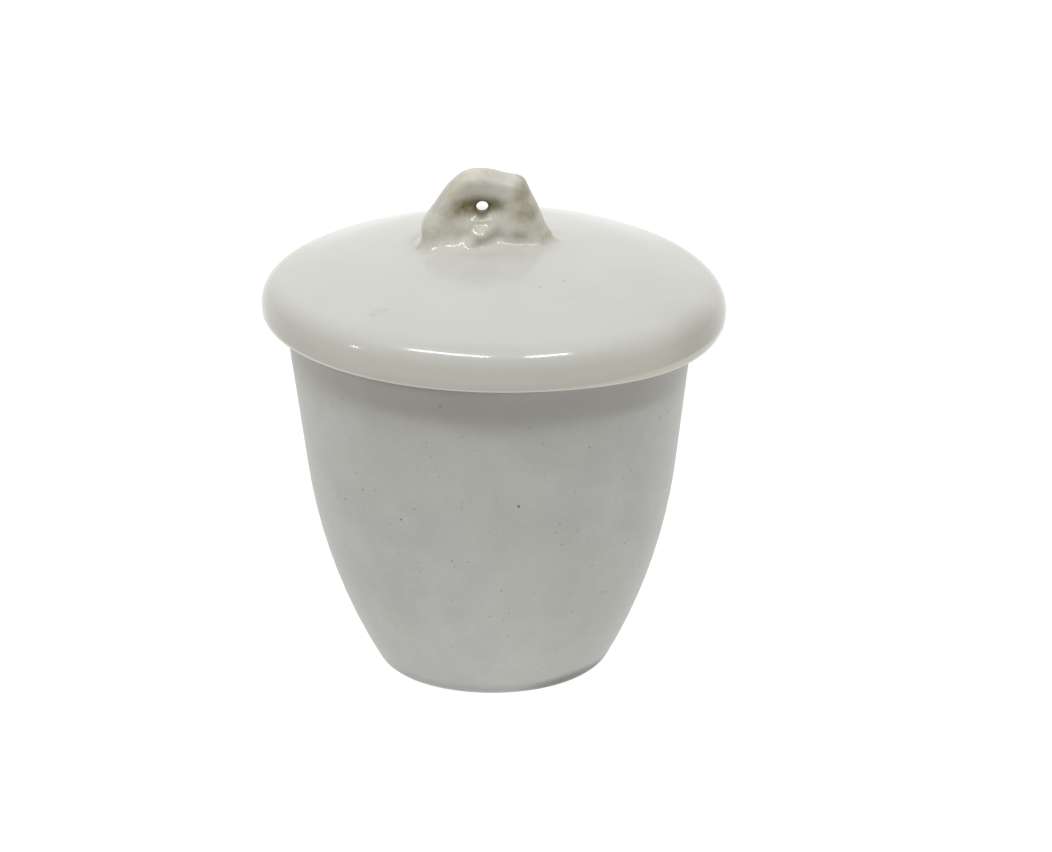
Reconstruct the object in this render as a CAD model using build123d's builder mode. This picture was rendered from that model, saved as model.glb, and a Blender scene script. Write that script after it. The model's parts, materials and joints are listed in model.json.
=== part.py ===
"""Porcelain crucible with a domed lid, 25 mL size, in millimetres.

Three pieces of fired clay: the tapered bowl, the lid's disc and the pinched
handle that is stuck on the disc before firing. The axis is Z, the bowl's flat
base lies on Z = 0, and the handle's hole runs along Y.
"""

import os
from math import radians, sqrt, tan

from build123d import *

# ---- driving dimensions -------------------------------------------------

# bowl
rim_radius = 19.9
bowl_height = 36.0
wall_taper = 7.2  # degrees from the vertical, in the straight upper wall
taper_end_height = 20.8  # below this the wall curves in towards the foot
foot_radius = 11.0  # where wall and base would meet, were the foot sharp
foot_round = 1.3
wall = 2.0
floor = 2.4
cavity_foot_radius = 9.0
cavity_round = 6.5
rim_round = 0.7

# lid disc
lid_radius = 22.5
lid_rise = 7.15  # from the seat to the top of the crown
crown_radius = 66.0
shoulder_round = 3.0
lip_round = 0.5
lid_thickness = 2.7
ring_clearance = 0.5  # locating ring to the bowl, at the ring's lower edge
ring_depth = 2.2
ring_width = 2.8
ring_round = 0.7
vault_round = 1.8

# handle
handle_offset = -0.6  # it sits a little to one side of the lid's axis
handle_sections = [  # height above the crown, width, depth, shift along X
    (-1.2, 13.4, 7.4, 0.0),
    (1.2, 11.9, 5.9, 0.0),
    (3.6, 10.2, 5.1, 0.2),
    (5.6, 8.0, 4.3, 0.4),
    (7.4, 5.4, 3.4, 0.3),
]
handle_top_round = 1.2
hole_radius = 0.65
hole_height = 3.6  # above the top of the crown
web = 1.1  # clay left between the two thumb dimples
dimple_radius = 3.4

# ---- derived ------------------------------------------------------------

slope = tan(radians(wall_taper))
mouth_radius = rim_radius - wall
crown_top = bowl_height + lid_rise
crown_centre = crown_top - crown_radius
ring_radius = mouth_radius - ring_depth * slope - ring_clearance
ring_bottom = bowl_height - ring_depth
ring_inner = ring_radius - ring_width
hole_z = crown_top + hole_height
dimple_centre = web / 2 + dimple_radius


def crown_height(radius, arc_radius):
    """Height of an arc about the crown's centre, at a distance from the axis."""
    return crown_centre + sqrt(arc_radius**2 - radius**2)


crown_edge = (lid_radius, crown_height(lid_radius, crown_radius))
lip = (lid_radius, bowl_height)
ring_outer_edge = (ring_radius, ring_bottom)
ring_inner_edge = (ring_inner, ring_bottom)
vault_edge = (ring_inner, crown_height(ring_inner, crown_radius - lid_thickness))
vault_top = (0, crown_top - lid_thickness)


def cup_section(top_radius, bottom, corner_radius, corner_round):
    """Half section under the rim plane: straight taper, arc, rounded foot."""
    taper_end = (
        top_radius - (bowl_height - taper_end_height) * slope,
        taper_end_height,
    )
    with BuildSketch(Plane.XZ) as section:
        with BuildLine():
            taper = Line((top_radius, bowl_height), taper_end)
            TangentArc(taper @ 1, (corner_radius, bottom), tangent=taper % 1)
            Polyline(
                (corner_radius, bottom),
                (0, bottom),
                (0, bowl_height),
                (top_radius, bowl_height),
            )
        make_face()
        foot = section.vertices().group_by(Axis.Y)[0].sort_by(Axis.X)[-1]
        fillet(foot, corner_round)
    return section.sketch


# ---- crucible bowl ------------------------------------------------------

with BuildPart() as crucible_bowl:
    add(cup_section(rim_radius, 0, foot_radius, foot_round))
    revolve(axis=Axis.Z)
    add(cup_section(mouth_radius, floor, cavity_foot_radius, cavity_round))
    revolve(axis=Axis.Z, mode=Mode.SUBTRACT)
    rim = crucible_bowl.faces().sort_by(Axis.Z)[-1]
    fillet(rim.edges(), rim_round)
crucible_bowl.part.label = "crucible_bowl"

# ---- lid disc -----------------------------------------------------------

with BuildPart() as lid_disc:
    with BuildSketch(Plane.XZ) as lid_section:
        with BuildLine():
            TangentArc((0, crown_top), crown_edge, tangent=(1, 0))
            Polyline(
                crown_edge,
                lip,
                (ring_radius, bowl_height),
                ring_outer_edge,
                ring_inner_edge,
                vault_edge,
            )
            TangentArc(vault_top, vault_edge, tangent=(1, 0))
            Line(vault_top, (0, crown_top))
        make_face()
        for corner, radius in (
            (crown_edge, shoulder_round),
            (lip, lip_round),
            (ring_outer_edge, ring_round),
            (ring_inner_edge, ring_round),
            (vault_edge, vault_round),
        ):
            fillet(lid_section.vertices().sort_by_distance(corner)[0], radius)
    revolve(axis=Axis.Z)
lid_disc.part.label = "lid_disc"

# ---- lid handle ---------------------------------------------------------

with BuildPart() as lid_handle:
    for height, width, depth, shift in handle_sections:
        with BuildSketch(Plane.XY.offset(crown_top + height)):
            with Locations((handle_offset + shift, 0)):
                Ellipse(width / 2, depth / 2)
    loft()
    fillet(lid_handle.faces().sort_by(Axis.Z)[-1].edges(), handle_top_round)
    with Locations(
        (handle_offset, -dimple_centre, hole_z), (handle_offset, dimple_centre, hole_z)
    ):
        Sphere(dimple_radius, mode=Mode.SUBTRACT)
    with Locations(Location((handle_offset, 0, hole_z), (90, 0, 0))):
        Hole(hole_radius)
    add(lid_disc.part, mode=Mode.SUBTRACT)
lid_handle.part.label = "lid_handle"

# ---- files --------------------------------------------------------------

os.makedirs("parts", exist_ok=True)
for piece in (crucible_bowl, lid_disc, lid_handle):
    export_step(piece.part, f"parts/{piece.part.label}.step")
    print(piece.part.label, len(piece.part.solids()), round(piece.part.volume))
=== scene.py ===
"""Looks of the porcelain crucible with its lid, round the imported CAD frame. Units are metres."""

import json
from math import cos, pi, radians, sin, tan

import bmesh
import bpy
import numpy as np
from mathutils import Matrix, Vector


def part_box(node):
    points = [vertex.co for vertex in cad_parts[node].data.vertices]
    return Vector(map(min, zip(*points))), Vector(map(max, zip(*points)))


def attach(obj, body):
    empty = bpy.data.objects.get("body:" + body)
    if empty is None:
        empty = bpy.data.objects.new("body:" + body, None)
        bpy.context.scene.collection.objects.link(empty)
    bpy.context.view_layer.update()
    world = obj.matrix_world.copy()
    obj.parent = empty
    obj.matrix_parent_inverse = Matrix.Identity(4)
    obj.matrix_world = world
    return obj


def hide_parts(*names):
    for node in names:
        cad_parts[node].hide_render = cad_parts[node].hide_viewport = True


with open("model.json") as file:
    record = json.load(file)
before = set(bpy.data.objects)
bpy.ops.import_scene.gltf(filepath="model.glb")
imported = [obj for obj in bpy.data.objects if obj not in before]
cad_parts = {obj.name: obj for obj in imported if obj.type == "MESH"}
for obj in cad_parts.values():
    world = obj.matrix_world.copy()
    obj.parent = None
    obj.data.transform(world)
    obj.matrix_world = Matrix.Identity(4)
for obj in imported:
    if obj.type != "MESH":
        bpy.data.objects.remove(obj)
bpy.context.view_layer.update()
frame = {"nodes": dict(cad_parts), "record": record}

MM = 0.001

# ---- the frame's own measures -------------------------------------------

bowl_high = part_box("crucible_bowl")[1]
disc_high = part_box("lid_disc")[1]
mounts = {mount["name"]: mount for mount in frame["record"]["mounts"]}
hole = Vector(mounts["lift_hole"]["pos_m"])
hole_radius = mounts["lift_hole"]["dims"]["r_mm"] * MM
rim_height = bowl_high.z
rim_outer = bowl_high.x
crown_top = disc_high.z
lid_radius = disc_high.x

# ---- how the kiln warped the lid ----------------------------------------

edge_tilt = tan(radians(1.4))  # the disc drops to the right
edge_shift = 0.4 * MM  # its rim lies this far to the right
crown_lean = tan(radians(1.9))  # the crown is higher in front, so the lip is taller there
# azimuth from +X and width in degrees, rise in mm of the places where the rim bends
rim_warp = [(326, 30, -0.55), (16, 24, -0.25), (145, 34, -0.36), (73, 14, 0.2)]

# ---- marks on the porcelain ---------------------------------------------

# degrees from the front towards +X, height in mm, radius in mm, darkness
iron_specks = [
    (-13.8, 33.6, 0.16, 0.7),
    (8.2, 22.9, 0.16, 0.95),
    (-28.8, 20.7, 0.14, 0.75),
    (-42.3, 22.9, 0.13, 0.6),
    (-33, 19.9, 0.10, 0.5),
    (58.7, 28.6, 0.14, 0.6),
    (29.7, 28.2, 0.12, 0.6),
    (46.4, 24.3, 0.12, 0.55),
    (43.2, 23.8, 0.10, 0.5),
    (47.6, 16.2, 0.13, 0.6),
    (34.5, 14.9, 0.12, 0.55),
    (41.7, 11.3, 0.13, 0.6),
    (-7.7, 16.8, 0.11, 0.5),
]
# X and Y in mm, radius in mm, darkness
lid_marks = [
    ((-10.7, -14.4), 0.8, 0.16),
    ((-11.0, -14.8), 0.35, 0.2),
    ((-9.7, -14.2), 0.35, 0.2),
    ((-6.4, -1.7), 0.75, 0.85),
    ((6.0, 0.7), 0.8, 0.6),
    ((4.8, -10.7), 0.17, 0.6),
    ((7.2, -8.9), 0.16, 0.6),
    ((8.0, -12.0), 0.15, 0.5),
]
# X and Y in mm, darkness of the painted shade on two stretches of the lip
painted_lip_shade = [
    ((20.0, -10.3), 0.4),
    ((-19.3, -11.5), 0.2),
]
# across and up from the hole in mm, radii across and up in mm, strength of the painted light:
# paler patches on shaded slopes, in part a paler, thicker glaze
handle_painted_light = [
    (-2.5, -2.9, (2.1, 1.0), 0.75),
    (1.7, 1.6, (1.9, 0.8), 0.7),
    (2.0, -1.7, (1.1, 0.9), 0.5),
    (0.8, -3.2, (1.6, 0.7), 0.7),
]
# across and up from the hole in mm, radii across and up in mm, darkness
handle_stains = [
    (-1.3, 0.35, (2.3, 1.0), 1.1),
    (0.1, 0.5, (1.8, 1.0), 0.8),
    (4.0, 0.9, (1.1, 2.4), 0.42),
    (4.3, -0.6, (1.1, 0.8), 0.45),
    (3.7, -2.5, (1.0, 0.45), 0.32),
    (-5.8, -4.1, (0.8, 0.6), 0.6),
    (6.2, -3.3, (0.8, 0.7), 0.4),
    (1.6, 0.35, (1.2, 0.6), 0.4),
]

# ---- small tools --------------------------------------------------------

weld = 1e-7  # points closer than this are the same


def smooth_step(value, low, high):
    """0 below low, 1 above high, with a soft ramp between them."""
    ramp = np.clip((value - low) / (high - low), 0, 1)
    return ramp * ramp * (3 - 2 * ramp)


def half_section(node, start_high):
    """Outline of a turned CAD node, as rows of radius and height from axis to axis."""
    cut = bmesh.new()
    cut.from_mesh(frame["nodes"][node].data)
    bmesh.ops.remove_doubles(cut, verts=cut.verts, dist=weld)
    everything = cut.verts[:] + cut.edges[:] + cut.faces[:]
    found = bmesh.ops.bisect_plane(
        cut, geom=everything, dist=weld, plane_co=(0, 0, 0), plane_no=(0, 1, 0)
    )
    links = {}
    for edge in found["geom_cut"]:
        if isinstance(edge, bmesh.types.BMEdge):
            a, b = [(round(v.co.x, 8), round(v.co.z, 8)) for v in edge.verts]
            if a != b and min(a[0], b[0]) > -weld:
                links.setdefault(a, set()).add(b)
                links.setdefault(b, set()).add(a)
    cut.free()
    ends = sorted((p for p in links if len(links[p]) == 1), key=lambda p: p[1])
    path = [ends[-1] if start_high else ends[0]]
    while True:
        ahead = [p for p in links[path[-1]] if p not in path[-2:]]
        if not ahead:
            return np.array(path)
        path.append(ahead[0])


def softened(line, spacing, blur):
    """The outline with even spacing, its facets and sharp corners blurred.

    Its mirror image goes on at both ends, so that the blur leaves the middle flat.
    """
    mirrored = line * (-1, 1)
    line = np.concatenate([mirrored[::-1][:-1], line, mirrored[::-1][1:]])
    steps = np.linalg.norm(np.diff(line, axis=0), axis=1)
    along = np.concatenate([[0], np.cumsum(steps)])
    third = round(along[-1] / 3 / spacing)
    marks = np.linspace(0, along[-1], 3 * third + 1)
    even = np.column_stack([np.interp(marks, along, line[:, k]) for k in (0, 1)])
    reach = int(4 * blur / spacing)
    kernel = np.exp(-0.5 * (np.arange(-reach, reach + 1) * spacing / blur) ** 2)
    kernel /= kernel.sum()
    soft = np.column_stack([np.convolve(even[:, k], kernel, "same") for k in (0, 1)])
    soft = soft[third : 2 * third + 1]
    soft[[0, -1], 0] = 0
    return soft


def outward(line, sign):
    """Unit normals of an outline, pointing out of the clay."""
    run = np.gradient(line, axis=0)
    run /= np.linalg.norm(run, axis=1)[:, None]
    return sign * np.column_stack([run[:, 1], -run[:, 0]])


def mesh_piece(name, points, faces, material):
    """A smooth-shaded object in the frame's own coordinates."""
    mesh = bpy.data.meshes.new(name)
    mesh.from_pydata(points, [], faces)
    mesh.validate()
    mesh.shade_smooth()
    mesh.materials.append(material)
    piece = bpy.data.objects.new(name, mesh)
    bpy.context.scene.collection.objects.link(piece)
    return piece


def turned(name, line, segments, sign, shape, material):
    """Revolves an outline into a closed mesh.

    The sign is 1 where the outline starts at the bottom and -1 where it starts at the top.
    The shape function says how far each point moves along its normal, and how far in X, Y and Z.
    """
    angle = np.arange(segments) * 2 * pi / segments
    normal = outward(line, sign)
    radius, height = line[1:-1, 0, None], line[1:-1, 1, None]
    move, shift = shape(radius, height, angle)
    radius = radius + move * normal[1:-1, 0, None]
    height = height + move * normal[1:-1, 1, None] + shift[2]
    rings = np.stack(
        [radius * np.cos(angle) + shift[0], radius * np.sin(angle) + shift[1], height],
        axis=-1,
    )
    poles = [(*rings[k, :, :2].mean(0), rings[k, :, 2].mean()) for k in (0, -1)]
    points = np.concatenate([rings.reshape(-1, 3), poles])
    count = len(line) - 2
    here = np.arange(segments)
    after = (here + 1) % segments
    faces = []
    for ring in range(count - 1):
        low, high = ring * segments, (ring + 1) * segments
        quads = np.column_stack([low + here, low + after, high + after, high + here])
        faces += quads[:, ::sign].tolist()
    last = (count - 1) * segments
    start_fan = np.column_stack([np.full(segments, count * segments), after, here])
    end_fan = np.column_stack([np.full(segments, count * segments + 1), last + here, last + after])
    faces += start_fan[:, ::sign].tolist() + end_fan[:, ::sign].tolist()
    return mesh_piece(name, points.tolist(), faces, material)


# ---- materials ----------------------------------------------------------

lid_specular = 0.36  # shared by the lid's disc and its handle, which meet in one glaze
crown_roughness = 0.21
lip_roughness = 0.11


class Shader:
    """A material with a Principled surface and short calls for its nodes."""

    def __init__(self, name, roughness, specular):
        self.material = bpy.data.materials.new(name)
        self.material.use_nodes = True
        self.nodes = self.material.node_tree.nodes
        self.links = self.material.node_tree.links
        self.surface = self.nodes["Principled BSDF"]
        self.surface.inputs["Roughness"].default_value = roughness
        self.surface.inputs["Specular IOR Level"].default_value = specular
        self.place = self.nodes.new("ShaderNodeTexCoord").outputs["Object"]

    def node(self, kind, output=0, settings=None, **inputs):
        """A new node's output; an input is named, or i and its number, and linked or set."""
        made = self.nodes.new("ShaderNode" + kind)
        for key, value in (settings or {}).items():
            setattr(made, key, value)
        for key, value in inputs.items():
            socket = made.inputs[int(key[1:]) if key[0] == "i" and key[1:].isdigit() else key]
            if isinstance(value, bpy.types.NodeSocket):
                self.links.new(value, socket)
            else:
                socket.default_value = value
        return made.outputs[output]

    def math(self, operation, a, b):
        """The result of a sum, product or other operation on two numbers."""
        return self.node("Math", settings={"operation": operation}, i0=a, i1=b)

    def vector(self, operation, a, b, output=0):
        """The result of an operation on two vectors; output 1 is its number."""
        return self.node("VectorMath", output, {"operation": operation}, i0=a, i1=b)

    def ramp(self, value, low, high, bottom=0.0, top=1.0):
        """Soft ramp from bottom at low to top at high."""
        return self.node(
            "MapRange",
            settings={"interpolation_type": "SMOOTHSTEP"},
            i0=value, i1=low, i2=high, i3=bottom, i4=top,
        )

    def mix(self, share, a, b):
        """Colour a, with a share of colour b."""
        return self.node("Mix", 2, {"data_type": "RGBA"}, i0=share, i6=a, i7=b)

    def mix_number(self, share, a, b):
        """Number a, with a share of number b."""
        return self.node("Mix", 0, {"data_type": "FLOAT"}, i0=share, i2=a, i3=b)

    def coat(self, colour, mask, strength, top):
        """The colour under a coat of another one, as far as the mask and the strength say."""
        return self.mix(self.math("MULTIPLY", mask, strength), colour, top)

    def noise(self, size, detail=2.0, roughness=0.5):
        """Noise whose features are about size metres across."""
        return self.node(
            "TexNoise", Vector=self.place, Scale=1 / size, Detail=detail, Roughness=roughness
        )

    def apart(self, centre, radii):
        """Distance from a point, in units of an ellipsoid's radii."""
        offset = self.vector("SUBTRACT", self.place, centre)
        scaled = self.vector("MULTIPLY", offset, [1 / r for r in radii])
        return self.node("VectorMath", 1, {"operation": "LENGTH"}, i0=scaled)

    def coordinate(self, axis):
        """X, Y or Z on the piece."""
        return self.node("SeparateXYZ", "XYZ".index(axis), i0=self.place)

    def dot(self, direction):
        """The place's dot product with a direction, which need not be of unit length."""
        return self.vector("DOT_PRODUCT", self.place, direction, 1)

    def specks(self, spacing, radius, share):
        """1 inside scattered grains, 0 outside; a share of the cells hold one each."""
        settings = {"feature": "F1"}
        apart = self.node("TexVoronoi", 0, settings, Vector=self.place, Scale=1 / spacing)
        tint = self.node("TexVoronoi", 1, settings, Vector=self.place, Scale=1 / spacing)
        chance = self.node("SeparateColor", 0, i0=tint)
        growth = self.node("SeparateColor", 1, i0=tint)
        reach = self.ramp(growth, 0.0, 1.0, 0.5 * radius / spacing, 1.4 * radius / spacing)
        nearness = self.math("DIVIDE", apart, reach)
        grain = self.ramp(nearness, 0.6, 1.15, 1.0, 0.0)
        return self.math("MULTIPLY", grain, self.ramp(chance, 1 - share, 1.001 - share))

    def spot(self, centre, radii, inner=0.4, outer=1.3):
        """1 at a place on the piece, fading to 0 at its rim."""
        return self.ramp(self.apart(centre, radii), inner, outer, 1.0, 0.0)

    def bump(self, height, distance, strength):
        """Gives the surface a relief."""
        made = self.node("Bump", Height=height, Distance=distance, Strength=strength)
        self.links.new(made, self.surface.inputs["Normal"])

    def polish(self, roughness):
        """Gives the surface a roughness that changes from place to place."""
        self.links.new(roughness, self.surface.inputs["Roughness"])

    def paint(self, colour):
        """Gives the surface its colour, and the material back."""
        self.links.new(colour, self.surface.inputs["Base Color"])
        return self.material


def tone(r, g, b):
    """Linear colour with full alpha."""
    return (r, g, b, 1.0)


def bowl_material(line):
    """Satin porcelain with iron specks, bare and rougher under the foot and on the rim, with
    painted shade under the lid and round the foot.
    """
    shader = Shader("bowl_porcelain", roughness=0.38, specular=0.3)
    clouds = shader.noise(5 * MM, detail=4, roughness=0.6)
    colour = shader.mix(
        shader.ramp(clouds, 0.25, 0.75), tone(0.384, 0.389, 0.362), tone(0.438, 0.443, 0.415)
    )
    drift = shader.noise(14 * MM)
    colour = shader.mix(
        shader.ramp(drift, 0.45, 0.75, 0.0, 0.5), colour, tone(0.42, 0.41, 0.373)
    )
    grain = shader.noise(0.45 * MM, detail=3, roughness=0.65)
    colour = shader.mix(shader.ramp(grain, 0.3, 0.8, 0.0, 0.18), colour, tone(0.29, 0.295, 0.28))
    fine = shader.specks(1.1 * MM, 0.12 * MM, 0.75)
    colour = shader.coat(colour, fine, 0.36, tone(0.2, 0.17, 0.13))
    coarse = shader.specks(2.6 * MM, 0.14 * MM, 0.5)
    colour = shader.coat(colour, coarse, 0.45, tone(0.14, 0.115, 0.09))
    side = line[: line[:, 0].argmax()]
    for azimuth, height, radius, strength in iron_specks:
        reach = np.interp(height * MM, side[:, 1], side[:, 0])
        turn = radians(azimuth - 90)
        centre = (reach * cos(turn), reach * sin(turn), height * MM)
        speck = shader.spot(centre, [radius * MM] * 3)
        colour = shader.coat(colour, speck, strength, tone(0.10, 0.08, 0.06))
    height = shader.coordinate("Z")
    # painted shade: a darker, warmer band on the wall just under the lid's overhang
    shade_under_lid = shader.ramp(height, rim_height - 6.5 * MM, rim_height - 3.5 * MM, 0.0, 0.45)
    uneven = shader.ramp(drift, 0.3, 0.7, 0.7, 1.3)
    colour = shader.coat(colour, shade_under_lid, uneven, tone(0.362, 0.33, 0.29))
    # painted shade along the foot's lower edge, where the wall meets the floor
    foot = shader.ramp(height, 0.5 * MM, 1.7 * MM, 1.0, 0.0)
    colour = shader.coat(colour, foot, 0.42, tone(0.22, 0.22, 0.205))
    # a deeper painted shade at the front right of the foot's lower edge
    foot_corner_shade = shader.spot((8 * MM, -8 * MM, 0.2 * MM), (6.5 * MM, 6.5 * MM, 1.5 * MM), 0.5, 1.2)
    colour = shader.coat(colour, foot_corner_shade, 0.68, tone(0.10, 0.10, 0.095))
    bare = shader.ramp(height, 0.1 * MM, 0.35 * MM, 1.0, 0.0)
    colour = shader.coat(colour, bare, 0.6, tone(0.46, 0.455, 0.425))
    seat = shader.ramp(height, rim_height - 0.35 * MM, rim_height - 0.1 * MM)
    colour = shader.coat(colour, seat, 0.8, tone(0.55, 0.54, 0.50))
    dull = shader.math("MAXIMUM", bare, seat)
    gloss = shader.ramp(clouds, 0.2, 0.8, 0.34, 0.42)
    shader.polish(shader.math("ADD", gloss, shader.math("MULTIPLY", dull, 0.25)))
    relief = shader.math("ADD", shader.math("MULTIPLY", grain, 0.5), shader.noise(1.6 * MM))
    shader.bump(relief, 0.012 * MM, 0.7)
    return shader.paint(colour)


def glaze_colour(shader):
    """The lid's own glaze, which the handle's foot fades into, and its fine grain."""
    clouds = shader.noise(7 * MM, detail=3, roughness=0.55)
    colour = shader.mix(clouds, tone(0.461, 0.463, 0.436), tone(0.515, 0.517, 0.489))
    grain = shader.noise(0.5 * MM, detail=3, roughness=0.6)
    colour = shader.mix(shader.ramp(grain, 0.3, 0.8, 0.0, 0.10), colour, tone(0.40, 0.40, 0.37))
    fine = shader.specks(1.7 * MM, 0.07 * MM, 0.35)
    colour = shader.coat(colour, fine, 0.28, tone(0.25, 0.21, 0.15))
    for (x, y), radius, strength in lid_marks:
        centre = (x * MM, y * MM, crown_top - 1.0 * MM)
        mark = shader.spot(centre, (radius * MM, radius * MM, 3 * MM))
        colour = shader.coat(colour, mark, strength, tone(0.36, 0.30, 0.19))
    join = shader.apart((hole.x, 0.0, crown_top), (7.6 * MM, 3.9 * MM, 9 * MM))
    ring = shader.math(
        "MULTIPLY", shader.ramp(join, 0.85, 1.0), shader.ramp(join, 1.0, 1.25, 1.0, 0.0)
    )
    return shader.coat(colour, ring, 0.25, tone(0.47, 0.45, 0.36)), grain


def lid_material():
    """Gloss glaze, warmer where it has run down to the lip, bare at the seat, with painted shade
    on two stretches of the lip.
    """
    shader = Shader("lid_glaze", roughness=lip_roughness, specular=lid_specular)
    colour, grain = glaze_colour(shader)
    level = shader.dot((edge_tilt, 0.0, 1.0))
    pool = shader.ramp(level, rim_height + 1.2 * MM, rim_height + 4.6 * MM, 1.0, 0.0)
    patches = shader.noise(9 * MM)
    warm = shader.mix(patches, tone(0.45, 0.435, 0.385), tone(0.465, 0.46, 0.39))
    colour = shader.coat(colour, pool, 0.85, warm)
    # painted shade: greyer stretches of the lip where it turns down and away from the light
    for (x, y), strength in painted_lip_shade:
        centre = (x * MM, y * MM, rim_height)
        shade = shader.spot(centre, (6 * MM, 6 * MM, 3.5 * MM), 0.2, 1.4)
        colour = shader.coat(colour, shade, strength, tone(0.25, 0.24, 0.205))
    # the lowest edge of the lip is paler and creamier: thinner glaze there, and a painted
    # reflection of the bright floor
    thin_glaze_and_reflection = shader.ramp(level, rim_height + 0.25 * MM, rim_height + 0.6 * MM, 1.0, 0.0)
    colour = shader.coat(colour, thin_glaze_and_reflection, 0.7, tone(0.60, 0.585, 0.50))
    radius = shader.apart((0.0, 0.0, 0.0), (1.0, 1.0, 1e6))
    low = shader.ramp(level, rim_height + 0.3 * MM, rim_height + 0.6 * MM, 1.0, 0.0)
    within = shader.ramp(radius, rim_outer + 0.2 * MM, rim_outer + 0.9 * MM, 1.0, 0.0)
    bare = shader.math("MULTIPLY", low, within)
    colour = shader.mix(bare, colour, tone(0.56, 0.545, 0.50))
    gloss = shader.ramp(radius, 14 * MM, 17.5 * MM, crown_roughness, lip_roughness)
    shader.polish(shader.mix_number(bare, gloss, 0.6))
    wave = shader.noise(2.6 * MM)
    relief = shader.math("ADD", wave, shader.math("MULTIPLY", grain, 0.08))
    shader.bump(relief, 0.02 * MM, 0.6)
    return shader.paint(colour)


def handle_patch(shader, across, up, radii, inner, outer):
    """A soft oval on both faces of the handle, placed from its hole in mm."""
    centre = (hole.x + across * MM, 0.0, hole.z + up * MM)
    return shader.spot(centre, (radii[0] * MM, 6 * MM, radii[1] * MM), inner, outer)


def handle_material():
    """The lid's glaze, greyer and thicker, stained olive brown in the hollows, with painted light
    on some shaded slopes and painted shade in the hole.
    """
    shader = Shader("handle_glaze", roughness=lip_roughness, specular=lid_specular)
    foot, grain = glaze_colour(shader)
    clouds = shader.noise(2.2 * MM, detail=4, roughness=0.65)
    colour = shader.mix(
        shader.ramp(clouds, 0.3, 0.7), tone(0.445, 0.43, 0.35), tone(0.56, 0.55, 0.49)
    )
    patches = shader.noise(4.1 * MM)
    colour = shader.mix(
        shader.ramp(patches, 0.5, 0.68, 0.0, 0.55), colour, tone(0.46, 0.44, 0.42)
    )
    pits = shader.noise(0.6 * MM, detail=3, roughness=0.7)
    colour = shader.mix(shader.ramp(pits, 0.4, 0.75, 0.0, 0.25), colour, tone(0.40, 0.385, 0.31))
    # painted light: paler patches that lift the shade on the handle's hollow and downward-facing
    # slopes, in part a paler, thicker glaze
    for across, up, radii, strength in handle_painted_light:
        light = handle_patch(shader, across, up, radii, 0.2, 1.4)
        colour = shader.coat(colour, light, strength, tone(0.65, 0.635, 0.57))
    uneven = shader.ramp(clouds, 0.3, 0.7, 1.25, 0.55)
    for across, up, radii, strength in handle_stains:
        stain = handle_patch(shader, across, up, radii, 0.1, 1.5)
        stain = shader.math("MULTIPLY", stain, uneven)
        colour = shader.coat(colour, stain, strength, tone(0.16, 0.125, 0.045))
    # inside and round the hole the glaze is dark brown: a stain, with painted shade in the bore
    bore = shader.spot((hole.x, 0.0, hole.z), (0.95 * MM, 1.0, 0.95 * MM), 0.6, 1.1)
    colour = shader.coat(colour, bore, 0.7, tone(0.10, 0.085, 0.045))
    above = shader.math("SUBTRACT", shader.dot((edge_tilt, 0.0, 1.0)), crown_top)
    colour = shader.mix(shader.ramp(above, -0.35 * MM, 0.9 * MM, 1.0, 0.0), colour, foot)
    base_gloss = shader.ramp(above, 0.0, 0.3 * MM, crown_roughness, lip_roughness)
    gloss = shader.ramp(above, 4.5 * MM, 6.6 * MM, base_gloss, 0.42)
    across = shader.coordinate("X")
    left_end = shader.ramp(across, hole.x - 5.6 * MM, hole.x - 4.3 * MM, 0.4, 0.0)
    right_end = shader.ramp(across, hole.x + 3.0 * MM, hole.x + 4.6 * MM, 0.0, 0.4)
    ends = shader.math("MAXIMUM", left_end, right_end)
    ends = shader.math("MULTIPLY", ends, shader.ramp(above, -0.1 * MM, 0.5 * MM))
    gloss = shader.math("MAXIMUM", gloss, ends)
    shader.polish(shader.math("MAXIMUM", gloss, shader.math("MULTIPLY", bore, 0.55)))
    shader.bump(shader.math("ADD", clouds, shader.math("MULTIPLY", grain, 0.1)), 0.03 * MM, 0.5)
    return shader.paint(colour)


# ---- bowl ---------------------------------------------------------------


def bowl_shape(radius, height, angle):
    """Hand-turned unevenness: a slow ovality of the wall, and faint rings left by turning."""
    slow = 0.035 * MM * np.cos(2 * angle + 0.6 + 30 * height)
    slow = slow + 0.02 * MM * np.cos(3 * angle + 2.1 - 60 * height)
    wall = smooth_step(radius, 9 * MM, 13 * MM)
    rings = 0.006 * MM * np.sin(height / (0.35 * MM) + 2 * np.sin(angle + 90 * height))
    below_rim = 1 - smooth_step(height, rim_height - 1.5 * MM, rim_height - 0.5 * MM)
    return (slow + rings) * wall * below_rim, (0.0, 0.0, 0.0)


bowl_line = softened(
    half_section("crucible_bowl", start_high=False), spacing=0.4 * MM, blur=0.25 * MM
)
bowl = turned(
    "bowl", bowl_line, segments=288, sign=1, shape=bowl_shape, material=bowl_material(bowl_line)
)
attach(bowl, "crucible")
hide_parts("crucible_bowl")

# ---- lid disc -----------------------------------------------------------

lid_line = softened(half_section("lid_disc", start_high=True), spacing=0.35 * MM, blur=0.22 * MM)
# points of the outline: where it goes down into the bowl, and just under the widest place
into_bowl = np.argmax(lid_line[:, 1] < rim_height - 0.5 * MM)
lip = np.argmax(lid_line[:into_bowl, 0]) + 4


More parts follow.
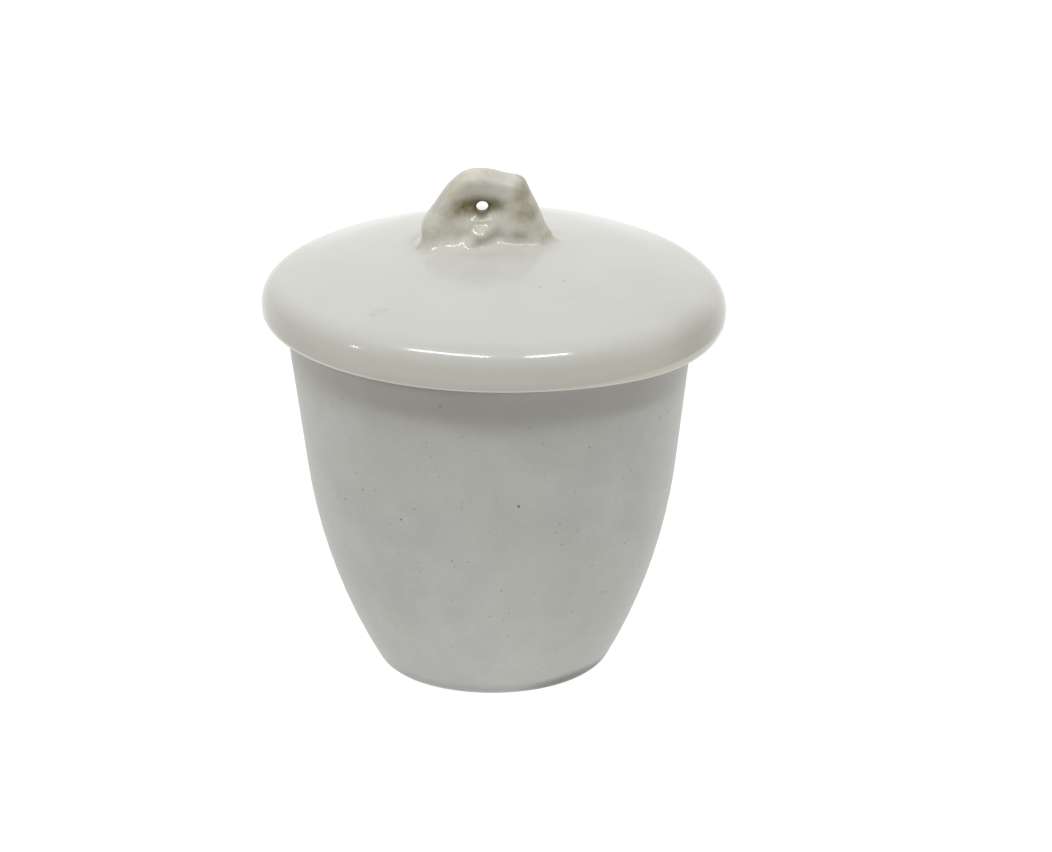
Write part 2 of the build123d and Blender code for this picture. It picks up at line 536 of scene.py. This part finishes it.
def lid_shape(radius, height, angle):
    """The disc warped in the kiln, but true where it meets the bowl, and a slow swell."""
    index = np.arange(1, len(lid_line) - 1)[:, None]
    upper = index <= lip
    outside = smooth_step(radius, rim_outer, rim_outer + 1.4 * MM)
    free = np.where(upper, 1.0, np.where(index < into_bowl, outside, 0.0))
    edge = smooth_step(radius, 11 * MM, lid_radius)
    warp = -0.1 * np.cos(2 * angle)
    for azimuth, width, rise in rim_warp:
        apart = (angle - radians(azimuth) + pi) % (2 * pi) - pi
        warp = warp + rise * np.exp(-((apart / radians(width)) ** 2))
    swell = 0.02 * MM * np.cos(3 * angle + 1.0) * smooth_step(radius, 9 * MM, 15 * MM)
    face = smooth_step(height, rim_height + 0.2 * MM, rim_height + 1.3 * MM) * upper
    lean = -edge_tilt * radius * np.cos(angle) - crown_lean * radius * np.sin(angle) * face
    return swell * free, (edge_shift * free, 0.0, (lean + warp * MM * edge) * free)


disc = turned(
    "lid_plate", lid_line, segments=320, sign=-1, shape=lid_shape, material=lid_material()
)
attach(disc, "lid")
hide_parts("lid_disc")

# ---- handle, in mm ------------------------------------------------------
# u and v run across and up from the hole's middle

cell = 0.11  # side of the sampled cells
# the sampled block's ends in X, Y and Z from the hole's middle; the skirt fits inside
block = [(-9.2, 10.0), (-6.9, 5.7), (-5.9, 4.3)]
edge_round = 1.3  # how far inside the silhouette the faces start to turn in
fillet_reach = 1.0  # where the handle meets the disc
hole_round = 0.3  # round the hole's mouths
least_slope = 0.3  # keeps the distance finite where the field is flat
handle_twist = tan(radians(9))  # its right side is set back
glaze_film = 0.07  # narrows the hole
bore_slope = tan(radians(10))  # the hole drops towards the back
# the skirt is the oval of lid surface that the handle's fillet runs out on
skirt_middle = (0.4, -0.6)
skirt_radii = (9.2, 6.0)
skirt_depth = 0.9  # it goes this far down into the disc
skirt_gap = 0.008  # the fillet dives this far under the disc's glaze
clay_top = 3.8  # the handle's top above the hole
thin_clay = 0.7  # half thickness left where fingers pressed round the hole

# silhouette seen along the hole, across and up from the hole's centre
silhouette = [
    (-6.2, -4.6),
    (-5.85, -2.8),
    (-5.85, -1.5),
    (-5.3, -0.4),
    (-4.6, 0.6),
    (-3.5, 2.15),
    (-2.4, 3.2),
    (-1.4, 3.74),
    (-0.1, 3.82),
    (1.1, 3.62),
    (2.0, 3.3),
    (2.8, 3.05),
    (3.5, 2.88),
    (4.15, 2.4),
    (4.65, 1.25),
    (5.15, 0.2),
    (5.6, -0.9),
    (6.1, -2.3),
    (6.9, -3.9),
    (7.1, -5.0),
    (6.2, -6.4),
    (0.0, -6.8),
    (-5.4, -6.4),
]
# across and up from the hole, radii across and up, height of the smeared clay
clay_lumps = [
    (0.0, -2.25, (0.95, 0.75), 0.62),
    (-1.15, -3.0, (0.55, 0.7), 0.35),
    (-1.9, -2.3, (0.6, 0.8), -0.25),
    (1.4, -2.7, (0.7, 0.9), -0.3),
    (0.0, -0.95, (0.8, 0.22), 0.18),
    (2.6, 2.6, (1.2, 0.7), 0.22),
]


def closed_curve(corners, steps):
    """A smooth closed line through the corners."""
    here = np.array(corners)
    before, after, beyond = (np.roll(here, k, 0) for k in (1, -1, -2))
    a, b, c, d = (side[:, None] for side in (before, here, after, beyond))
    t = (np.arange(steps) / steps)[None, :, None]
    curve = b + 0.5 * t * (c - a + t * (2 * a - 5 * b + 4 * c - d + t * (3 * (b - c) + d - a)))
    return curve.reshape(-1, 2)


def distance_to(curve, across, up):
    """Distance to a closed line, negative inside it."""
    point = np.stack([across, up], axis=-1)[..., None, :]
    run = np.roll(curve, -1, 0) - curve
    offset = point - curve
    share = np.clip((offset * run).sum(-1) / (run**2).sum(-1), 0, 1)
    nearest = np.linalg.norm(offset - share[..., None] * run, axis=-1).min(-1)
    far_end = curve[:, 1] + run[:, 1]
    passes = (curve[:, 1] <= up[..., None]) != (far_end <= up[..., None])
    rise = np.where(run[:, 1] == 0, 1, run[:, 1])
    meeting = curve[:, 0] + (up[..., None] - curve[:, 1]) / rise * run[:, 0]
    inside = (passes & (meeting > across[..., None])).sum(-1) % 2 == 1
    return np.where(inside, -nearest, nearest)


def bell(value, centre, reach, power=2):
    """1 at the centre, falling off to both sides; a higher power has a flatter top."""
    return np.exp(-(np.abs((value - centre) / reach) ** power))


def oval_bell(u, v, centre, radii, power=2):
    """1 at a place on the handle's face, falling off all round."""
    return bell(np.hypot((u - centre[0]) / radii[0], (v - centre[1]) / radii[1]), 0, 1, power)


def blended(a, b, reach):
    """The union of two solids with a fillet between them."""
    near = np.maximum(reach - np.abs(a - b), 0) / reach
    return np.minimum(a, b) - near**2 * reach / 4


def front_half(u, v, above):
    """Thickness of the clay in front of the handle's middle plane."""
    lobe = 0.8 * bell(u, -3.4, 2.0) - 0.35 * bell(u, 2.0, 1.6)
    thick = 1.2 + 0.14 * (clay_top - v) + lobe * np.exp(-above / 1.3)
    thick = thick - 0.07 * np.cos(1.3 * u + 0.8 * v) + 0.1 * bell(u, 4.1, 0.9)
    thick = thick - (thick - thin_clay) * oval_bell(u, v, (0.0, 0.15), (2.2, 1.15), power=1.6)
    for across, up, radii, height in clay_lumps:
        thick = thick + height * oval_bell(u, v, (across, up), radii)
    return thick


def back_half(u, v, above):
    """Thickness behind the middle plane, where the finger pressed."""
    thick = 1.25 + 0.12 * (clay_top - v) + 0.3 * np.exp(-above / 1.4)
    thick = thick + 0.1 * np.sin(1.1 * u - 0.7 * v)
    return thick - (thick - thin_clay) * oval_bell(u, v, (0.3, 0.0), (2.3, 1.5))


def disc_top(x, y):
    """Height of the lid disc's upper face."""
    top = lid_line[: np.argmax(lid_line[:, 0])] / MM
    x = x - edge_shift / MM
    return np.interp(np.hypot(x, y), top[:, 0], top[:, 1]) - edge_tilt * x - crown_lean * y


def handle_field(x, y, z):
    """Distance to the handle's surface, negative inside."""
    u, v = x - hole.x / MM, z - hole.z / MM
    above = np.maximum(v + (hole.z - crown_top) / MM, -1)
    edge = distance_to(closed_curve(silhouette, steps=6), u[:, 0], v[:, 0])[:, None]
    behind = y - handle_twist * u
    half = np.where(behind < 0, front_half(u, v, above), back_half(u, v, above))
    bulge = np.hypot(np.maximum(edge + edge_round, 0), behind * edge_round / half) - edge_round
    slope = np.sqrt(sum(part**2 for part in np.gradient(bulge, cell)))
    clay = bulge / np.maximum(slope, least_slope)
    tunnel = hole_radius / MM - glaze_film - np.hypot(u, v + bore_slope * behind)
    clay = -blended(-clay, -tunnel, hole_round)
    top = disc_top(x, y)
    joined = blended(clay, z - top + skirt_gap, fillet_reach)
    skirt_u, skirt_y = u - skirt_middle[0], y - skirt_middle[1]
    footprint = np.hypot(skirt_u / skirt_radii[0], skirt_y / skirt_radii[1]) - 1
    return np.maximum(np.maximum(joined, footprint * skirt_radii[1]), top - skirt_depth - z)


def net(field):
    """Closed surface where a sampled field is zero: points in grid units, and quads."""
    inside = field < 0
    cuts = (slice(None, -1), slice(1, None))
    corners = [inside[a, b, c] for a in cuts for b in cuts for c in cuts]
    count = sum(corner.astype(int) for corner in corners)
    crossed = (count > 0) & (count < 8)
    cells = np.argwhere(crossed)
    label = np.full(crossed.shape, -1)
    label[crossed] = np.arange(len(cells))
    total, weight, quads = np.zeros((len(cells), 3)), np.zeros(len(cells)), []
    for axis in range(3):
        step = np.eye(3, dtype=int)[axis]
        across = np.eye(3, dtype=int)[[(axis + 1) % 3, (axis + 2) % 3]]
        for i in (0, 1):
            for j in (0, 1):
                start = cells + i * across[0] + j * across[1]
                one, two = field[tuple(start.T)], field[tuple((start + step).T)]
                cut = (one < 0) != (two < 0)
                share = np.where(cut, one / np.where(cut, one - two, 1), 0)
                total += np.where(cut[:, None], start + share[:, None] * step, 0)
                weight += cut
        one = inside[tuple(slice(None, -1) if k == axis else slice(None) for k in range(3))]
        two = inside[tuple(slice(1, None) if k == axis else slice(None) for k in range(3))]
        for leaving in (True, False):
            edges = np.argwhere((one != two) & (one == leaving))
            round_edge = ((1, 1), (0, 1), (0, 0), (1, 0))
            around = [edges - i * across[0] - j * across[1] for i, j in round_edge]
            quad = np.column_stack([label[tuple(place.T)] for place in around])
            quads.append(quad if leaving else quad[:, ::-1])
    return total / weight[:, None], np.concatenate(quads)


def sampled(field, place):
    """The field between its samples."""
    low = np.clip(np.floor(place).astype(int), 0, np.array(field.shape) - 2)
    share = place - low
    value = 0
    for corner in np.ndindex(2, 2, 2):
        weight = np.prod(np.where(corner, share, 1 - share), axis=1)
        value = value + weight * field[tuple((low + corner).T)]
    return value


def on_surface(field, points, rounds=4, longest_move=4):
    """Points moved along the field's slope until they lie on the surface."""
    slopes = np.gradient(field)
    for _ in range(rounds):
        slope = np.column_stack([sampled(part, points) for part in slopes])
        steep = np.maximum((slope**2).sum(1), least_slope * cell**2)
        move = np.clip(sampled(field, points) / steep, -longest_move, longest_move)
        points = points - move[:, None] * slope
    return points


block_middle = (hole.x / MM, 0.0, hole.z / MM)
span = [
    np.arange(middle + start, middle + end, cell)
    for middle, (start, end) in zip(block_middle, block)
]
field = handle_field(*np.meshgrid(*span, indexing="ij"))
points, quads = net(field)
points = on_surface(field, points)
corner = np.array([axis[0] for axis in span])
handle = mesh_piece(
    "handle", ((points * cell + corner) * MM).tolist(), quads.tolist(), handle_material()
)
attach(handle, "lid")
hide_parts("lid_handle")

# ---- floor --------------------------------------------------------------

floor_half = 1.5
floor_gap = 0.05 * MM  # keeps the floor's plane apart from the foot's


def flat_piece(name, half, material):
    """A level square whose sides lie half a side from the origin."""
    corners = [(-half, -half, 0), (half, -half, 0), (half, half, 0), (-half, half, 0)]
    return mesh_piece(name, corners, [(0, 1, 2, 3)], material)


def floor_material():
    """White bench paper that glows, so that the crucible's shadow stays faint."""
    shader = Shader("floor", roughness=0.9, specular=0.0)
    grain = shader.noise(30 * MM, detail=3)
    shader.links.new(
        shader.mix(grain, tone(0.97, 0.97, 0.97), tone(1.0, 1.0, 1.0)),
        shader.surface.inputs["Emission Color"],
    )
    # it is dimmer far in front of the crucible and brighter close to the foot
    glow = shader.ramp(shader.coordinate("Y"), -0.26, -0.05, 0.28, 0.97)
    bounce = shader.spot((0.0, -22 * MM, 0.0), (18 * MM, 11 * MM, 1.0))
    glow = shader.math("ADD", glow, shader.math("MULTIPLY", bounce, 0.3))
    shader.links.new(glow, shader.surface.inputs["Emission Strength"])
    return shader.paint(shader.mix(grain, tone(0.12, 0.12, 0.12), tone(0.14, 0.14, 0.14)))


floor = flat_piece("floor", floor_half, floor_material())
floor.location.z = -floor_gap

# ---- lamps --------------------------------------------------------------

lid_middle = Vector((0, 0, crown_top))
# name, place, size, watts; they make the streaks on the lid's shoulder
lamps = [
    ("strip_left", (-0.27, -0.5, 0.91), (0.62, 0.1), 4.7),
    ("strip_right", (0.43, -0.5, 0.91), (0.38, 0.1), 3.1),
    ("far_lamp", (-1.9, -0.55, 0.85), (0.11, 0.12), 1.7),
]


def soft_lamp(name, place, size, power, target):
    """A rectangular lamp that points at the target."""
    lamp = bpy.data.lights.new(name, "AREA")
    lamp.shape = "RECTANGLE"
    lamp.size, lamp.size_y = size
    lamp.energy = power
    made = bpy.data.objects.new(name, lamp)
    made.location = place
    made.rotation_euler = (Vector(target) - Vector(place)).to_track_quat("-Z", "Y").to_euler()
    bpy.context.scene.collection.objects.link(made)


for name, place, size, power in lamps:
    soft_lamp(name, place, size, power, lid_middle)

# ---- sky ----------------------------------------------------------------

world = bpy.data.worlds.new("studio")
world.use_nodes = True
bpy.context.scene.world = world
sky = world.node_tree
direction = sky.nodes.new("ShaderNodeTexCoord").outputs["Generated"]
parts = sky.nodes.new("ShaderNodeSeparateXYZ")
sky.links.new(direction, parts.inputs[0])


def sky_ramp(value, *levels):
    """Soft ramp over a part of the direction; a level may come from another ramp."""
    ramp = sky.nodes.new("ShaderNodeMapRange")
    ramp.interpolation_type = "SMOOTHSTEP"
    sky.links.new(value, ramp.inputs["Value"])
    for key, level in zip(("From Min", "From Max", "To Min", "To Max"), levels):
        if isinstance(level, bpy.types.NodeSocket):
            sky.links.new(level, ramp.inputs[key])
        else:
            ramp.inputs[key].default_value = level
    return ramp.outputs[0]


# low down the sky is dark in front and bright behind, and higher up it is the reverse
sideways = sky.nodes.new("ShaderNodeMath")
sideways.operation = "ABSOLUTE"
sky.links.new(parts.outputs["X"], sideways.inputs[0])
backdrop = sky_ramp(sideways.outputs[0], 0.45, 0.95, 1.0, 0.8)
low_sky = sky_ramp(parts.outputs["Y"], -0.95, 0.9, 0.05, backdrop)
high_sky = sky_ramp(parts.outputs["Y"], -0.6, 0.4, 1.5, 0.8)
round_sky = sky_ramp(parts.outputs["Z"], 0.62, 0.84, low_sky, high_sky)
brightness = sky_ramp(parts.outputs["Z"], 0.92, 0.985, round_sky, 0.65)
sky.links.new(brightness, sky.nodes["Background"].inputs["Strength"])
sky.nodes["Background"].inputs["Color"].default_value = (1.0, 0.995, 0.975, 1.0)

# ---- camera -------------------------------------------------------------

view_elevation = radians(22)
view_distance = 0.6
camera_roll = radians(0.63)  # the crucible leans this little in the picture
look_at = Vector((3.38, 0, 23.84)) * MM  # the middle of the picture
lens_data = bpy.data.cameras.new("camera")
lens_data.sensor_width = 36
lens_data.lens = 210.3  # in mm like the sensor; a long lens, as for the photograph
lens_data.clip_start = 0.01
lens_data.clip_end = 10
camera = bpy.data.objects.new("camera", lens_data)
towards = Vector((0, cos(view_elevation), -sin(view_elevation)))
camera.location = look_at - view_distance * towards
turn = towards.to_track_quat("-Z", "Y").to_matrix() @ Matrix.Rotation(-camera_roll, 3, "Z")
camera.rotation_euler = turn.to_euler()
bpy.context.scene.collection.objects.link(camera)
bpy.context.scene.camera = camera
bpy.context.scene.view_settings.view_transform = "Standard"
